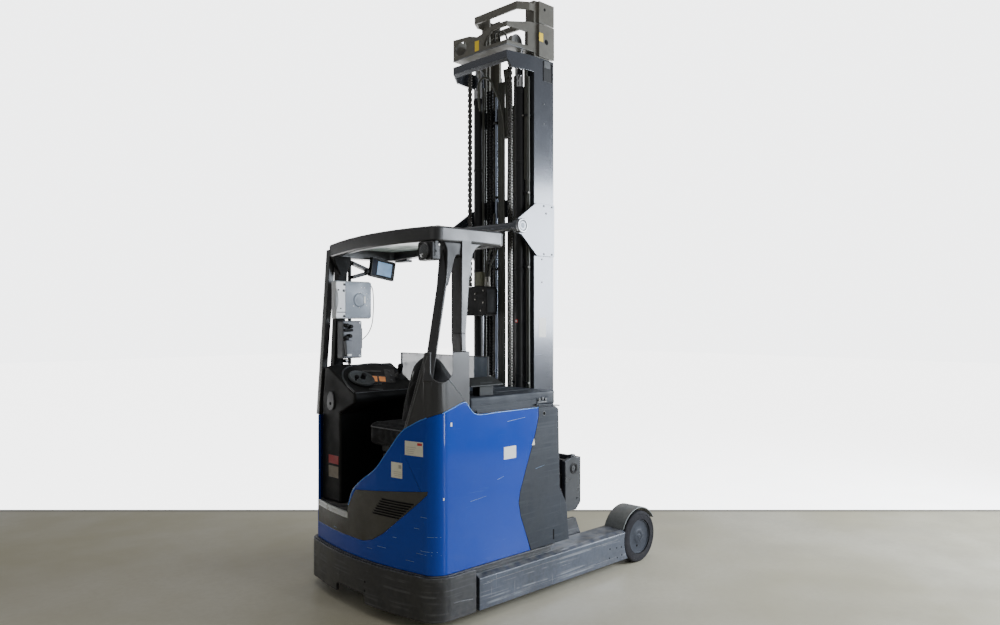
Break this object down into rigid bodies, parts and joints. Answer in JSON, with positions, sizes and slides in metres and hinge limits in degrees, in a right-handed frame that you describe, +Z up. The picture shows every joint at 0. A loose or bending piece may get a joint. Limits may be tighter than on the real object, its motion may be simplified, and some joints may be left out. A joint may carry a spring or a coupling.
{
  "type": "reach truck",
  "caption": "Sit-on electric reach truck with wheel arms, overhead guard, side-facing seat and a three-stage mast on a sliding reach carriage, without forks.",
  "frame": {"origin": "on the floor at the middle of the bounding box", "axes": "+X forwards towards the load wheels, +Y to the left, +Z up"},
  "size_m": [2.095, 1.27, 3.8],
  "materials": {
    "arm_paint": "satin",
    "graphite_paint": "satin",
    "blue_paint": "gloss",
    "black_plastic": "matte",
    "dark_steel": "oiled",
    "black_paint": "satin",
    "tyre": "matte",
    "wheel_tread": "matte",
    "wheel_grey": "painted",
    "mast_paint": "satin",
    "chrome": "polished",
    "clear_sheet": "clear",
    "light_plastic": "matte",
    "fabric": "woven",
    "aluminium": "brushed"
  },
  "bodies": {
    "truck": {"arm_left": "arm_paint", "arm_right": "arm_paint", "battery": "graphite_paint", "battery_cover_left": "graphite_paint", "battery_cover_right": "graphite_paint", "body_left": "blue_paint", "body_right": "blue_paint", "bulkhead": "black_plastic", "bumper": "graphite_paint", "cab_floor": "black_plastic", "chassis": "graphite_paint", "console": "black_plastic", "device_pole": "black_paint", "fender_left": "graphite_paint", "fender_right": "graphite_paint", "monitor": "black_plastic", "overhead_guard": "black_paint", "pedals": "black_plastic", "rear_screen": "clear_sheet", "roof_pane": "clear_sheet", "scanner_holder": "light_plastic", "seat_backrest": "fabric", "seat_base": "black_plastic", "seat_cushion": "fabric", "steering_wheel": "black_plastic", "step_strip": "aluminium", "terminal": "light_plastic", "terminal_cable": "black_plastic", "top_cover": "black_plastic", "tray": "black_plastic", "vent_panel": "black_plastic", "work_lamp": "black_plastic"},
    "load_wheel_right": {"load_tyre_right": "wheel_tread", "load_hub_right": "wheel_grey"},
    "load_wheel_left": {"load_tyre_left": "wheel_tread", "load_hub_left": "wheel_grey"},
    "drive_unit": {"drive_fork": "black_paint", "drive_motor": "black_paint"},
    "drive_wheel": {"drive_tyre": "tyre", "drive_hub": "black_paint"},
    "reach_mast": {"reach_carriage": "graphite_paint", "outer_mast": "mast_paint", "lift_cylinder_right": "black_paint", "lift_cylinder_left": "black_paint", "chain_right": "dark_steel", "chain_left": "dark_steel", "mast_tie": "mast_paint", "valve_block": "black_plastic"},
    "middle_stage": {"middle_mast": "mast_paint", "lift_rod_right": "chrome", "lift_rod_left": "chrome"},
    "inner_stage": {"inner_mast": "mast_paint", "free_lift_cylinder": "black_paint"},
    "carriage": {"lift_carriage": "graphite_paint"},
    "fork_tilt_frame": {"fork_frame": "mast_paint"}
  },
  "joints": [
    {"name": "right_load_wheel_spin", "type": "hinge", "parent": "truck", "child": "load_wheel_right", "pos_m": [0.8725, -0.575, 0.175], "axis": [0, 1, 0], "continuous": true},
    {"name": "left_load_wheel_spin", "type": "hinge", "parent": "truck", "child": "load_wheel_left", "pos_m": [0.8725, 0.575, 0.175], "axis": [0, 1, 0], "continuous": true},
    {"name": "drive_steer", "type": "hinge", "parent": "truck", "child": "drive_unit", "pos_m": [-0.7175, 0.06, 0.385], "axis": [0, 0, 1], "range_deg": [-90, 90]},
    {"name": "drive_wheel_spin", "type": "hinge", "parent": "drive_unit", "child": "drive_wheel", "pos_m": [-0.7175, 0.06, 0.18], "axis": [0, 1, 0], "continuous": true},
    {"name": "reach_slide", "type": "slide", "parent": "truck", "child": "reach_mast", "axis": [1, 0, 0], "range_m": [0, 0.5]},
    {"name": "mast_lift", "type": "slide", "parent": "reach_mast", "child": "middle_stage", "axis": [0, 0, 1], "range_m": [0, 2.7]},
    {"name": "inner_lift", "type": "slide", "parent": "middle_stage", "child": "inner_stage", "axis": [0, 0, 1], "range_m": [0, 2.7]},
    {"name": "free_lift", "type": "slide", "parent": "inner_stage", "child": "carriage", "axis": [0, 0, 1], "range_m": [0, 2.4]},
    {"name": "fork_tilt", "type": "hinge", "parent": "carriage", "child": "fork_tilt_frame", "pos_m": [0.4145, 0, 0.68], "axis": [0, 1, 0], "range_deg": [-4, 2]}
  ],
  "couplings": [
    {"joint": "inner_lift", "follows": "mast_lift", "ratio": 1}
  ]
}
